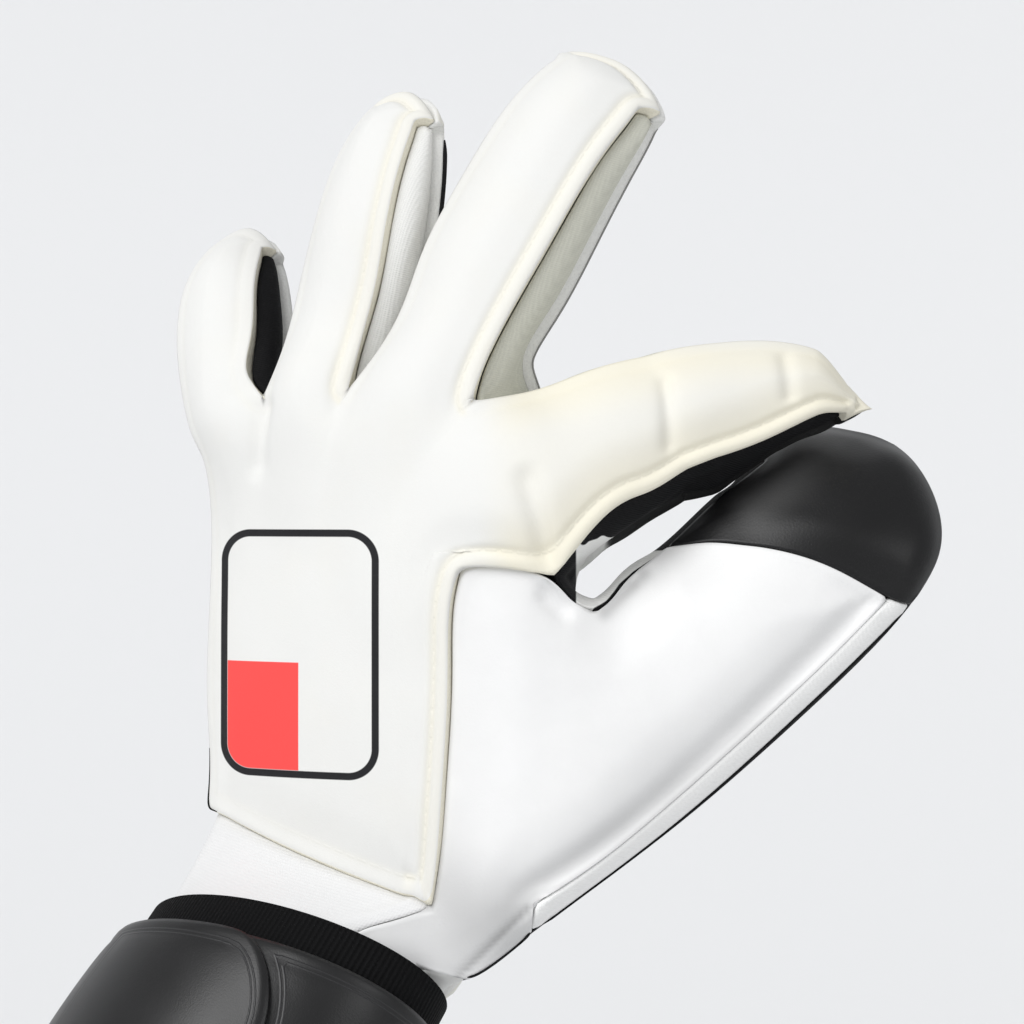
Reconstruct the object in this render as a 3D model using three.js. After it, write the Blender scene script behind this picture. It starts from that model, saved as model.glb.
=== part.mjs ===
// Goalkeeper glove for the left hand, in millimetres, +Z up.
// The origin is the centre of the wrist opening. The fingers point up, the back of the hand
// looks toward -X and -Y, and the bent index finger and the thumb reach toward +X.
import * as THREE from "three";

const point = (x, y, z) => new THREE.Vector3(x, y, z);
const between = (a, b, share) => a.clone().lerp(b, share);
const along = (from, direction, length) => from.clone().addScaledVector(direction, length);

// Driving sizes
const BACK_FOAM = 3.0; // padding over the back of the hand, outside the sewing surface
const PALM_FOAM = 3.5; // padding over the palm
const THUMB_FOAM = 2.2; // padding inside the thumb
const SMOOTH_SHEET = 1.4; // smooth sheet over the back of the thumb
const SIDE_CLOTH = 0.6; // thin strips between the fingers
const LINING = 0.8; // what lies inside the sewing surface, on every piece
const HEM = 0.9; // every piece is thinned to this at the wrist hem
const SEAM_GAP = 0.24; // half of the gap between two sewn pieces
const SHARPEST_CORNER = 0.15; // keeps a piece from drawing back too far at a sharp corner
const FOLD_REACH = 7; // how far from a seam the padding is checked against the fold there
const FOLD_ROOM = 0.9; // how far the padding stays from the middle of a fold
const FOLD_SINK = 0.6; // share of its height that padding loses at a seam in a full fold
const FULL_FOLD = 0.5; // lean of a piece toward its neighbour that counts as a full fold
const CORNER_ACROSS = 0.82; // where the edge of a padded panel lies, as a share of the half width
const CORNER_DROP = 0.42; // how far the panel falls toward its edge, as a share of the half thickness
const TIP_SEAM = 0.56; // where the seam over a fingertip lies between its back and its palm side
const THUMB_TIP_SEAM = 0.85; // the same on the thumb
const FITTING_ROUNDS = 4; // passes that bring the rounded form back to the tabled sizes

// Directions of the hand: toward the thumb, out of its back, and up the wrist
const TO_THUMB = point(0.743, -0.669, 0).normalize();
const OUT_OF_BACK = point(-0.669, -0.743, 0).normalize();
const UP_THE_WRIST = point(0.37, 0.4, 0.84).normalize();
const BACK_AT_WRIST = along(OUT_OF_BACK, UP_THE_WRIST, -OUT_OF_BACK.dot(UP_THE_WRIST)).normalize();
const SIDE_AT_WRIST = UP_THE_WRIST.clone().cross(BACK_AT_WRIST);

// Rows of the hand from the wrist to the knuckles. thumb_* and little_* are the edges of the back
// panel on the two sides, thick is the depth at these edges, arch the rise of the back between them,
// and drop how much lower the palm lies than the back on the thumb side.
const HAND_ROWS = [
  { thumb_x: 64, thumb_y: -11, thumb_z: 70, little_x: 16.5, little_y: 27, little_z: 88, thick: 26, arch: 5, drop: 0 },
  { thumb_x: 67, thumb_y: -15.5, thumb_z: 95, little_x: 16, little_y: 30.5, little_z: 110, thick: 26, arch: 5, drop: 3 },
  { thumb_x: 68.5, thumb_y: -18, thumb_z: 121, little_x: 16.5, little_y: 31.5, little_z: 132, thick: 25, arch: 5, drop: 7 },
  { thumb_x: 70, thumb_y: -20, thumb_z: 143, little_x: 17, little_y: 33, little_z: 154, thick: 24, arch: 4, drop: 9 },
];
// Heel of the thumb: where the outer edge of the thumb starts at the wrist
const THUMB_HEEL = point(71.5, -6, 54.5);
const THUMB_HEEL_PALM = point(69.5, 7, 56);

// Knuckle row: the back edge of each web, from the thumb side of the index finger to the outer side
// of the little finger, and the way through the web to its palm edge
const WEBS = [
  { x: 89.1, y: -21, z: 140.8, to_x: 4, to_y: 20, to_z: 0 },
  { x: 72.8, y: -14, z: 176.8, to_x: 14, to_y: 15, to_z: -3 },
  { x: 46.6, y: 1.2, z: 178.2, to_x: 13.5, to_y: 15, to_z: -3 },
  { x: 28.5, y: 16, z: 178.5, to_x: 12, to_y: 14, to_z: -3 },
  { x: 15, y: 32, z: 167, to_x: 12, to_y: 15, to_z: -3 },
];
const KNUCKLE_RISE = [5, 4, 3.5, 3]; // index, middle, ring, little
const KNUCKLE_PAD = [3, 3, 3, 3];

// Sections of the fingers from the knuckles to the tip: centre, width and thickness over the padding,
// turn, the angle by which the back of the finger looks away from -Y toward -X, and drop, how far
// the panels fall toward their edges as a share of the half thickness, where the tips narrow the strips
const FINGERS = {
  index: [
    { x: 93.5, y: -10, z: 164, width: 37, thick: 27, turn: 20 },
    { x: 102, y: -9, z: 168.6, width: 34.5, thick: 26, turn: 13 },
    { x: 109.5, y: -8, z: 171.6, width: 32.5, thick: 25, turn: 12 },
    { x: 113.5, y: -8, z: 173, width: 31.5, thick: 22, turn: 12 },
    { x: 117.5, y: -7, z: 174, width: 31.5, thick: 24, turn: 12 },
    { x: 128.5, y: -5, z: 176.3, width: 29.3, thick: 23, turn: 14 },
    { x: 138.5, y: -4, z: 178.6, width: 24, thick: 20, turn: 17 },
    { x: 146, y: -3, z: 179.3, width: 17, thick: 16, turn: 20 },
    { x: 150.5, y: -2, z: 178.6, width: 11, thick: 11, turn: 20 },
  ],
  middle: [
    { x: 69.9, y: 0, z: 190.1, width: 29, thick: 23, turn: 34 },
    { x: 76, y: 2, z: 204, width: 33, thick: 24, turn: 34 },
    { x: 84, y: 4.5, z: 219, width: 33, thick: 23, turn: 33 },
    { x: 92.7, y: 6.6, z: 234.5, width: 32.4, thick: 22, turn: 33, drop: 0.48 },
    { x: 100.4, y: 8.4, z: 244.3, width: 29, thick: 17.5, turn: 33, drop: 0.6 },
  ],
  ring: [
    { x: 43.8, y: 16, z: 189, width: 25, thick: 21, turn: 42 },
    { x: 47.5, y: 17.5, z: 202, width: 28, thick: 21, turn: 46 },
    { x: 50.8, y: 18, z: 216.5, width: 29, thick: 21, turn: 51 },
    { x: 53.8, y: 19, z: 230, width: 26, thick: 19, turn: 51, drop: 0.48 },
    { x: 56.4, y: 20, z: 238.3, width: 20, thick: 14, turn: 50, drop: 0.6 },
  ],
  little: [
    { x: 20.5, y: 33, z: 178, width: 26, thick: 20, turn: 42 },
    { x: 19, y: 38, z: 188, width: 26, thick: 19, turn: 38 },
    { x: 18.5, y: 42, z: 198, width: 25, thick: 19, turn: 37 },
    { x: 19, y: 45.5, z: 205.5, width: 22, thick: 17, turn: 37, drop: 0.48 },
    { x: 20.2, y: 47.5, z: 210.3, width: 17, thick: 12, turn: 37, drop: 0.52 },
  ],
};

// Sections of the thumb: the edge toward the index finger, the outer edge, the thickness over the
// padding, bow, how far the middle of the back lies ahead of its edges, and drop, how far the back
// falls toward its edges, as a share of the half thickness
const THUMB_SECTIONS = [
  { in_x: 98.3, in_y: -6.5, in_z: 135.5, out_x: 84, out_y: -9, out_z: 64, thick: 29, bow: 0, drop: 0.24 },
  { in_x: 104, in_y: -3, in_z: 141, out_x: 113, out_y: -8, out_z: 84.5, thick: 28.5, bow: 0.5, drop: 0.38 },
  { in_x: 108.7, in_y: 0, in_z: 144.3, out_x: 141, out_y: -7, out_z: 108.5, thick: 28, bow: 3, drop: 0.42 },
  { in_x: 112, in_y: 2, in_z: 146, out_x: 167, out_y: -6, out_z: 134.5, thick: 28, bow: 5, drop: 0.42 },
  { in_x: 120, in_y: 3.5, in_z: 152.5, out_x: 173, out_y: -3, out_z: 149.5, thick: 26, bow: 2, drop: 0.42 },
  { in_x: 133.5, in_y: 8, in_z: 163, out_x: 168.5, out_y: 4, out_z: 163, thick: 20, bow: 0, drop: 0.42 },
];
const FIRST_SPREAD = 0.8; // crowding of the points of the first section toward the web
const INNER_INSET = 2.8; // width of the side strip ahead of the thumb's inner edge
const OUTER_ROUND = 1.1; // how far the outer seam of the thumb lies inside the thumb's outline
const OUTER_AHEAD = 3.0; // and how far it lies ahead of the middle, toward the back
const CAP_STARTS = 3; // section of the thumb on which the cap is sewn to the white sheet

// Wrist: centre of the bandage's upper rim, and the sections of the glove below and above it
const RIM = point(34.2, 14, 56.2);
const WRIST_SECTIONS = [
  { up: -8, width: 68, thick: 50 }, // hem, inside the bandage
  { up: 1.5, width: 69.5, thick: 51 }, // just above the rim
];

// A cage of four-sided faces. Each face carries the name of the piece that is cut from it.
class Cage {
  constructor() {
    this.points = [];
    this.thin = []; // 1 where the pieces are thinned to the hem, 0 elsewhere
    this.faces = [];
  }

  addPoint(p, thin = 0) {
    this.thin.push(thin);
    return this.points.push(p.clone()) - 1;
  }

  addRing(points, thin) {
    return points.map((p) => this.addPoint(p, thin));
  }

  addFace(corners, piece) {
    this.faces.push({ corners, piece });
  }

  // Joins two rings of equal count. A piece of null leaves the space open.
  addBand(lower, upper, pieces) {
    lower.forEach((start, k) => {
      const next = (k + 1) % lower.length;
      if (pieces[k]) this.addFace([start, upper[k], upper[next], lower[next]], pieces[k]);
    });
  }

  // Closes a digit: the back half of the cap goes to one piece and the palm half to another.
  addCap(ring, spans, backPiece, palmPiece, seam) {
    const back = ring.slice(0, spans + 1);
    const palm = ring.slice(spans + 2, 2 * spans + 3).reverse();
    const middle = back.map((corner, k) => {
      if (k === 0) return ring[2 * spans + 3];
      if (k === spans) return ring[spans + 1];
      const tip = between(this.points[corner], this.points[palm[k]], seam);
      return this.addPoint(along(tip, this.tipDirection, this.tipLength * tipShare(k / spans)));
    });
    for (let k = 0; k < spans; k++) {
      this.addFace([back[k], middle[k], middle[k + 1], back[k + 1]], backPiece);
      this.addFace([middle[k], palm[k], palm[k + 1], middle[k + 1]], palmPiece);
    }
  }
}

// Roundness of a fingertip from one side to the other
function tipShare(across) {
  return Math.sqrt(1 - (2 * across - 1) ** 2);
}

// Points of one section: over the back from the near side, one at the far side, over the palm
// and one at the near side. A spread under 1 crowds the points toward the far side.
function sectionRing(centre, side, back, halfWidth, halfThick, spans, drop = CORNER_DROP, spread = 1) {
  const ring = [];
  for (const face of [1, -1]) {
    for (let k = 0; k <= spans; k++) {
      const fromNear = face > 0 ? k / spans : 1 - k / spans;
      const across = 1 - 2 * fromNear ** spread;
      const rise = face * (1 - drop * across ** 2);
      const p = along(centre, side, CORNER_ACROSS * halfWidth * across);
      ring.push(p.addScaledVector(back, halfThick * rise));
    }
    ring.push(along(centre, side, -face * halfWidth));
  }
  return ring;
}

// Back and side directions of a section across a centre line, turned about that line
function sectionFrame(tangent, turn) {
  const toward = point(0, -1, 0);
  const back = toward.addScaledVector(tangent, -toward.dot(tangent)).normalize();
  const side = tangent.clone().cross(back);
  const angle = THREE.MathUtils.degToRad(turn);
  return {
    back: back.clone().multiplyScalar(Math.cos(angle)).addScaledVector(side, -Math.sin(angle)),
    side: side.clone().multiplyScalar(Math.cos(angle)).addScaledVector(back, Math.sin(angle)),
  };
}

const HAND_SPANS = 12; // four fingers with three faces each
const FINGER_SPANS = 3;
const THUMB_SPANS = 4;

// One row round the hand from the edges of the back panel
function handRing(row, atHeel) {
  const thumbEdge = point(row.thumb_x, row.thumb_y, row.thumb_z);
  const littleEdge = point(row.little_x, row.little_y, row.little_z);
  const back = [];
  const palm = [];
  for (let k = 0; k <= HAND_SPANS; k++) {
    const share = k / HAND_SPANS;
    const rise = 4 * share * (1 - share);
    const p = between(thumbEdge, littleEdge, share);
    back.push(along(p, OUT_OF_BACK, row.arch * rise));
    palm.push(along(p, OUT_OF_BACK, -row.thick - 0.6 * row.arch * rise));
    palm[k].z -= row.drop * (1 - share);
    if (atHeel) palm[k].lerp(THUMB_HEEL_PALM, (1 - share) ** 2);
  }
  const littleSide = along(between(back[HAND_SPANS], palm[HAND_SPANS], 0.5), TO_THUMB, -4);
  return [...back, littleSide, ...palm.reverse()];
}

// The knuckle row runs over the webs and rises over each knuckle.
function knuckleRow() {
  const webBack = WEBS.map((w) => point(w.x, w.y, w.z));
  const webPalm = WEBS.map((w) => point(w.x + w.to_x, w.y + w.to_y, w.z + w.to_z));
  const back = [];
  const palm = [];
  for (let k = 0; k <= HAND_SPANS; k++) {
    const finger = Math.min(Math.floor(k / FINGER_SPANS), WEBS.length - 2);
    const share = (k - finger * FINGER_SPANS) / FINGER_SPANS;
    const rise = 4.5 * share * (1 - share);
    const b = between(webBack[finger], webBack[finger + 1], share);
    const p = between(webPalm[finger], webPalm[finger + 1], share);
    const through = b.clone().sub(p).normalize();
    back.push(along(b, through, KNUCKLE_RISE[finger] * rise));
    palm.push(along(p, through, -KNUCKLE_PAD[finger] * rise));
  }
  const middles = WEBS.map((w, k) => between(webBack[k], webPalm[k], 0.5));
  middles[WEBS.length - 1].addScaledVector(TO_THUMB, -3);
  return { back, palm, middles };
}

function centreOf(points) {
  return points.reduce((sum, p) => sum.add(p), point(0, 0, 0)).divideScalar(points.length);
}

// Adds a finger on its ring of the knuckle row.
function addFinger(cage, base, rows, pieces, tipLength) {
  const centres = [centreOf(base.map((k) => cage.points[k])), ...rows.map((r) => point(r.x, r.y, r.z))];
  let lower = base;
  rows.forEach((row, k) => {
    const after = centres[Math.min(k + 2, rows.length)];
    const tangent = after.clone().sub(centres[k]).normalize();
    const { back, side } = sectionFrame(tangent, row.turn);
    const halfWidth = row.width / 2 - SIDE_CLOTH;
    const halfThick = row.thick / 2 - BACK_FOAM;
    const ring = sectionRing(centres[k + 1], side, back, halfWidth, halfThick, FINGER_SPANS, row.drop);
    const upper = cage.addRing(ring);
    cage.addBand(lower, upper, pieces);
    lower = upper;
    cage.tipDirection = tangent;
  });
  cage.tipLength = tipLength;
  cage.addCap(lower, FINGER_SPANS, pieces[0], pieces[FINGER_SPANS + 2], TIP_SEAM);
}

// Adds the thumb on the ring that the hand leaves open on its thumb side.
function addThumb(cage, base) {
  let lower = base;
  let lastCentre = null;
  THUMB_SECTIONS.forEach((row, k) => {
    const inner = point(row.in_x, row.in_y, row.in_z);
    const outer = point(row.out_x, row.out_y, row.out_z);
    const side = outer.clone().sub(inner);
    const halfWidth = side.length() / 2 - SIDE_CLOTH;
    side.normalize();
    const toward = point(0, -1, 0);
    const facing = toward.addScaledVector(side, -toward.dot(side)).normalize();
    const centre = between(inner, outer, 0.5);
    const halfThick = row.thick / 2 - BACK_FOAM / 2;
    const spread = Math.min(1, FIRST_SPREAD + 0.1 * k);
    const ring = sectionRing(centre, side, facing, halfWidth, halfThick, THUMB_SPANS, row.drop, spread);
    const ahead = facing.clone().cross(side);
    const spare = (1 - CORNER_ACROSS) * halfWidth;
    for (let s = 0; s <= THUMB_SPANS; s++) {
      ring[s].addScaledVector(ahead, row.bow * (1 - (1 - (2 * s) / THUMB_SPANS) ** 2));
      ring[s].addScaledVector(side, (INNER_INSET - spare) * (s / THUMB_SPANS) ** 2);
    }
    if (k <= CAP_STARTS) {
      ring[2 * THUMB_SPANS + 2].addScaledVector(side, spare - OUTER_ROUND);
      ring[2 * THUMB_SPANS + 3].addScaledVector(side, -OUTER_ROUND).addScaledVector(facing, OUTER_AHEAD);
    }
    const upper = cage.addRing(ring);
    const backPiece = k <= CAP_STARTS ? "thumb_back" : "thumb_cap";
    const stripPiece = k === 0 ? "thumb_back" : "thumb_side_strip";
    const outerPiece = k <= CAP_STARTS ? stripPiece : "thumb_cap";
    cage.addBand(lower, upper, [
      ...Array(THUMB_SPANS).fill(backPiece),
      "fourchette_index_thumb",
      "fourchette_index_thumb",
      ...Array(THUMB_SPANS).fill("thumb_latex"),
      "thumb_side_gusset",
      outerPiece,
    ]);
    lower = upper;
    if (lastCentre) cage.tipDirection = centre.clone().sub(lastCentre).normalize();
    lastCentre = centre;
  });
  cage.tipLength = 8;
  cage.addCap(lower, THUMB_SPANS, "thumb_cap", "thumb_latex", THUMB_TIP_SEAM);
}

function buildCage() {
  const cage = new Cage();
  const rows = WRIST_SECTIONS.map(({ up, width, thick }) => {
    const centre = along(RIM, UP_THE_WRIST, up);
    return cage.addRing(sectionRing(centre, SIDE_AT_WRIST, BACK_AT_WRIST, width / 2, thick / 2, HAND_SPANS), 1);
  });
  const heel = cage.addPoint(THUMB_HEEL);
  HAND_ROWS.forEach((row, k) => {
    const ring = cage.addRing(handRing(row, k === 0));
    rows.push(k ? ring : [...ring, heel]);
  });
  const knuckles = knuckleRow();
  const last = WEBS.length - 1;
  const backRow = cage.addRing(knuckles.back);
  const palmRow = cage.addRing(knuckles.palm);
  const middles = cage.addRing(knuckles.middles);
  rows.push([...backRow, middles[last], ...[...palmRow].reverse(), middles[0]]);

  const all = (name) => Array(HAND_SPANS).fill(name);
  for (let k = 0; k + 1 < rows.length; k++) {
    const wrist = k < WRIST_SECTIONS.length;
    cage.addBand(rows[k], rows[k + 1], [
      ...all(wrist ? "wrist_elastic" : "back_panel"),
      wrist ? "wrist_elastic" : "little_side_gusset",
      wrist ? "wrist_elastic" : "little_side_gusset",
      ...all("palm_latex"),
      wrist ? "thumb_side_gusset" : null,
      wrist ? "thumb_back" : null,
    ]);
  }

  const strips = [
    "fourchette_index_thumb",
    "fourchette_middle_index",
    "fourchette_ring_middle",
    "fourchette_little_ring",
    "little_side_gusset",
  ];
  Object.entries(FINGERS).forEach(([name, sections], f) => {
    const first = f * FINGER_SPANS;
    const backPart = backRow.slice(first, first + FINGER_SPANS + 1);
    const palmPart = palmRow.slice(first, first + FINGER_SPANS + 1).reverse();
    const base = [...backPart, middles[f + 1], ...palmPart, middles[f]];
    const pieces = [
      ...Array(FINGER_SPANS).fill("back_panel"),
      strips[f + 1],
      strips[f + 1],
      ...Array(FINGER_SPANS).fill("palm_latex"),
      strips[f],
      strips[f],
    ];
    addFinger(cage, base, sections, pieces, 5.5);
  });

  const atThumb = rows.slice(WRIST_SECTIONS.length);
  const thumbEdges = atThumb.map((ring) => ring[0]);
  const palmEdges = atThumb.map((ring) => ring[2 * HAND_SPANS + 2]).reverse();
  addThumb(cage, [...thumbEdges, middles[0], ...palmEdges, heel]);
  return cage;
}

const edgeKey = (a, b) => (a < b ? `${a}_${b}` : `${b}_${a}`);

// One step of Catmull and Clark's rounding. The old points come first in the new list.
function rounded(cage) {
  const edges = new Map();
  const around = cage.points.map(() => ({ faces: [], edges: [] }));
  const facePoints = cage.faces.map((face) => centreOf(face.corners.map((c) => cage.points[c])));
  cage.faces.forEach((face, f) => {
    face.corners.forEach((a, k) => {
      const b = face.corners[(k + 1) % face.corners.length];
      const key = edgeKey(a, b);
      if (!edges.has(key)) {
        const edge = { a, b, faces: [] };
        edges.set(key, edge);
        around[a].edges.push(edge);
        around[b].edges.push(edge);
      }
      edges.get(key).faces.push(f);
      around[a].faces.push(f);
    });
  });

  const result = new Cage();
  cage.points.forEach((p, k) => {
    const open = around[k].edges.filter((edge) => edge.faces.length === 1);
    const middles = (list) => centreOf(list.map((e) => between(cage.points[e.a], cage.points[e.b], 0.5)));
    if (open.length) {
      result.addPoint(between(p, middles(open), 0.5), cage.thin[k]);
      return;
    }
    const count = around[k].edges.length;
    const faceMean = centreOf(around[k].faces.map((f) => facePoints[f]));
    const moved = p.clone().multiplyScalar(count - 3).add(faceMean);
    moved.addScaledVector(middles(around[k].edges), 2).divideScalar(count);
    result.addPoint(moved, cage.thin[k]);
  });
  const thinMean = (corners) => corners.reduce((sum, c) => sum + cage.thin[c], 0) / corners.length;
  const faceIndex = facePoints.map((p, f) => result.addPoint(p, thinMean(cage.faces[f].corners)));
  for (const edge of edges.values()) {
    const ends = [cage.points[edge.a], cage.points[edge.b]];
    const beside = edge.faces.length === 2 ? edge.faces.map((f) => facePoints[f]) : [];
    edge.index = result.addPoint(centreOf([...ends, ...beside]), thinMean([edge.a, edge.b]));
  }
  cage.faces.forEach((face, f) => {
    face.corners.forEach((corner, k) => {
      const after = face.corners[(k + 1) % face.corners.length];
      const before = face.corners[(k + face.corners.length - 1) % face.corners.length];
      const ahead = edges.get(edgeKey(corner, after)).index;
      const behind = edges.get(edgeKey(before, corner)).index;
      result.addFace([corner, ahead, faceIndex[f], behind], face.piece);
    });
  });
  return result;
}

// Rounding draws a form in, so the cage is filled out until the rounded form has the tabled sizes.
function fitted(cage) {
  const wanted = cage.points.map((p) => p.clone());
  for (let pass = 0; pass < FITTING_ROUNDS; pass++) {
    const now = rounded(cage);
    cage.points.forEach((p, k) => p.add(wanted[k]).sub(now.points[k]));
  }
  return rounded(cage);
}

function faceNormal(surface, face) {
  const [a, b, c, d] = face.corners.map((k) => surface.points[k]);
  return c.clone().sub(a).cross(d.clone().sub(b));
}

function normalsOf(surface, faces) {
  const normals = new Map();
  for (const face of faces) {
    const normal = faceNormal(surface, face);
    for (const corner of face.corners) {
      if (!normals.has(corner)) normals.set(corner, point(0, 0, 0));
      normals.get(corner).add(normal);
    }
  }
  for (const normal of normals.values()) normal.normalize();
  return normals;
}

// Border edges of a piece, in the direction in which its faces run along them
function borderOf(faces) {
  const seen = new Map();
  for (const face of faces) {
    face.corners.forEach((a, k) => {
      const b = face.corners[(k + 1) % face.corners.length];
      const key = edgeKey(a, b);
      seen.set(key, seen.has(key) ? null : [a, b]);
    });
  }
  return [...seen.values()].filter(Boolean);
}

// For each border point, the directions in the sheet that lead away from the seam, one for each of
// its border edges, and the step that draws back from all of them alike
function seamSteps(surface, border, normals) {
  const steps = new Map();
  for (const [a, b] of border) {
    const run = surface.points[b].clone().sub(surface.points[a]).normalize();
    for (const corner of [a, b]) {
      if (!steps.has(corner)) steps.set(corner, { sides: [] });
      steps.get(corner).sides.push(normals.get(corner).clone().cross(run).normalize());
    }
  }
  for (const seam of steps.values()) {
    const mean = centreOf(seam.sides);
    seam.step = mean.multiplyScalar(1 / Math.max(mean.dot(mean), SHARPEST_CORNER));
  }
  return steps;
}

// Padding on the flank of a concave fold stays on its own side of the nearest seam.
function roomBeside(surface, border, steps, corner, normal) {
  const p = surface.points[corner];
  let nearest = FOLD_REACH;
  let room = Infinity;
  for (const [a, b] of border) {
    const start = surface.points[a];
    const run = surface.points[b].clone().sub(start);
    const share = THREE.MathUtils.clamp(p.clone().sub(start).dot(run) / run.dot(run), 0, 1);
    const away = p.clone().sub(along(start, run, share));
    if (away.length() > nearest) continue;
    nearest = away.length();
    const step = between(steps.get(a).step, steps.get(b).step, share);
    const lean = -normal.dot(step);
    room = lean > 0 ? Math.max(away.dot(step) - FOLD_ROOM, 0) / lean : Infinity;
  }
  return room;
}

// Turns the faces of one piece into a closed wall. It lies on the sewing surface, LINING inside
// it and outer outside it.
function pieceGeometry(surface, shared, faces, own, outer) {
  const border = borderOf(faces);
  const steps = seamSteps(surface, border, shared);
  const slot = new Map();
  const positions = [];
  for (const corner of own.keys()) {
    const p = surface.points[corner];
    const seam = steps.get(corner);
    const normal = shared.get(corner);
    const away = seam ? Math.min(...seam.sides.map((side) => own.get(corner).dot(side))) : 0;
    const rise = away > 0 ? own.get(corner) : normal;
    const pull = seam ? seam.step.clone().multiplyScalar(SEAM_GAP) : point(0, 0, 0);
    const full = THREE.MathUtils.lerp(outer, Math.min(outer, HEM), surface.thin[corner]);
    const room = seam ? Infinity : roomBeside(surface, border, steps, corner, normal);
    const sink = FOLD_SINK * Math.min(1, Math.max(0, -away) / FULL_FOLD);
    const inside = along(p, normal, -LINING).add(pull);
    const outside = along(p, rise, Math.min(full * (1 - sink), room)).add(pull);
    slot.set(corner, slot.size);
    positions.push(...inside.toArray(), ...outside.toArray());
  }
  const inner = (corner) => 2 * slot.get(corner);
  const index = [];
  for (const { corners } of faces) {
    const [a, b, c, d] = corners.map(inner);
    index.push(a + 1, b + 1, c + 1, a + 1, c + 1, d + 1);
    index.push(a, c, b, a, d, c);
  }
  for (const [a, b] of border) {
    const [p, q] = [inner(a), inner(b)];
    index.push(p, q, q + 1, p, q + 1, p + 1);
  }
  const geometry = new THREE.BufferGeometry();
  geometry.setAttribute("position", new THREE.Float32BufferAttribute(positions, 3));
  geometry.setIndex(index);
  geometry.computeVertexNormals();
  return geometry;
}

// Pieces of the glove body: thickness outside the sewing surface, colour and roughness
const PIECES = [
  { name: "back_panel", outer: BACK_FOAM, colour: 0xf8f7f2, roughness: 0.75 },
  { name: "palm_latex", outer: PALM_FOAM, colour: 0xf3f1ea, roughness: 0.9 },
  { name: "thumb_latex", outer: THUMB_FOAM, colour: 0xf3f1ea, roughness: 0.9 },
  { name: "fourchette_little_ring", outer: SIDE_CLOTH, colour: 0x1c1c1e, roughness: 0.8 },
  { name: "fourchette_ring_middle", outer: SIDE_CLOTH, colour: 0xefede4, roughness: 0.8 },
  { name: "fourchette_middle_index", outer: SIDE_CLOTH, colour: 0xcfccb8, roughness: 0.8 },
  { name: "fourchette_index_thumb", outer: SIDE_CLOTH, colour: 0x1c1c1e, roughness: 0.8 },
  { name: "little_side_gusset", outer: SIDE_CLOTH, colour: 0x1c1c1e, roughness: 0.8 },
  { name: "thumb_back", outer: SMOOTH_SHEET, colour: 0xf6f6f8, roughness: 0.45 },
  { name: "thumb_cap", outer: SMOOTH_SHEET, colour: 0x232325, roughness: 0.35 },
  { name: "thumb_side_strip", outer: 1.2, colour: 0xf4f4f4, roughness: 0.6 },
  { name: "thumb_side_gusset", outer: SIDE_CLOTH, colour: 0x1c1c1e, roughness: 0.8 },
  { name: "wrist_elastic", outer: 1.0, colour: 0xf2f3f3, roughness: 0.8 },
];

function mesh(name, geometry, colour, roughness) {
  const material = new THREE.MeshStandardMaterial({ color: colour, roughness, metalness: 0 });
  const made = new THREE.Mesh(geometry, material);
  made.name = name;
  return made;
}

// Where pieces meet, each counts alike in the direction in which their walls rise from the seam.
function sharedNormals(owns) {
  const shared = new Map();
  for (const own of owns) {
    for (const [corner, normal] of own) {
      if (!shared.has(corner)) shared.set(corner, point(0, 0, 0));
      shared.get(corner).add(normal);
    }
  }
  for (const normal of shared.values()) normal.normalize();
  return shared;
}

function gloveBody() {
  const surface = fitted(buildCage());
  const faces = PIECES.map(({ name }) => surface.faces.filter((face) => face.piece === name));
  const owns = faces.map((list) => normalsOf(surface, list));
  const shared = sharedNormals(owns);
  return PIECES.map((piece, k) => {
    const geometry = pieceGeometry(surface, shared, faces[k], owns[k], piece.outer);
    return mesh(piece.name, geometry, piece.colour, piece.roughness);
  });
}

// Inner form of the cuff and thickness of the bandage on it, by distance down from the upper rim
const CUFF_FORM = [
  { down: 0, halfWidth: 36.9, halfThick: 27.9, wall: 1.5 },
  { down: 9, halfWidth: 37.0, halfThick: 28.0, wall: 1.7 },
  { down: 21, halfWidth: 38.0, halfThick: 29.0, wall: 2.2 },
  { down: 31, halfWidth: 38.8, halfThick: 29.8, wall: 2.2 },
  { down: RIM.length(), halfWidth: 38.8, halfThick: 29.8, wall: 2.2 },
];
const BANDAGE_STEPS = 28;

// Profile of the strap: distance down from the rim of the cuff, thickness, and tongue, the angle by
// which its free end reaches further round there
const STRAP_FORM = [
  { down: 8.8, thick: 1.3, tongue: 0 },
  { down: 13, thick: 1.9, tongue: 9 },
  { down: 21, thick: 1.9, tongue: 18 },
  { down: 33, thick: 1.9, tongue: 24 },
  { down: 46, thick: 1.9, tongue: 18 },
  { down: 54, thick: 1.9, tongue: 9 },
  { down: 58.2, thick: 1.3, tongue: 0 },
];
const STRAP_CLEAR = 0.35;
const STRAP_LIFT = 2.3; // how much further out the free end lies
const STRAP_END = 67; // degrees from the thumb side toward the back, where the free end starts
const STRAP_SWEEP = 415;
const STRAP_STEPS = 34;
const STRAP_LIES_OVER = 59; // degrees from the free end over which it lies on the strap's own start
const STRAP_COMES_DOWN = 95; // degrees from the free end where it lies on the bandage again
const TONGUE_RUN = 60; // degrees over which the strap's rows straighten again behind the tongue

const CUFF_AXIS = RIM.clone().normalize();

// Value of a column of the cuff's form at a distance down from the rim
function cuffValue(column, down) {
  let k = 0;
  while (k + 2 < CUFF_FORM.length && CUFF_FORM[k + 1].down < down) k++;
  const [a, b] = [CUFF_FORM[k], CUFF_FORM[k + 1]];
  return THREE.MathUtils.lerp(a[column], b[column], (down - a.down) / (b.down - a.down));
}

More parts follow.
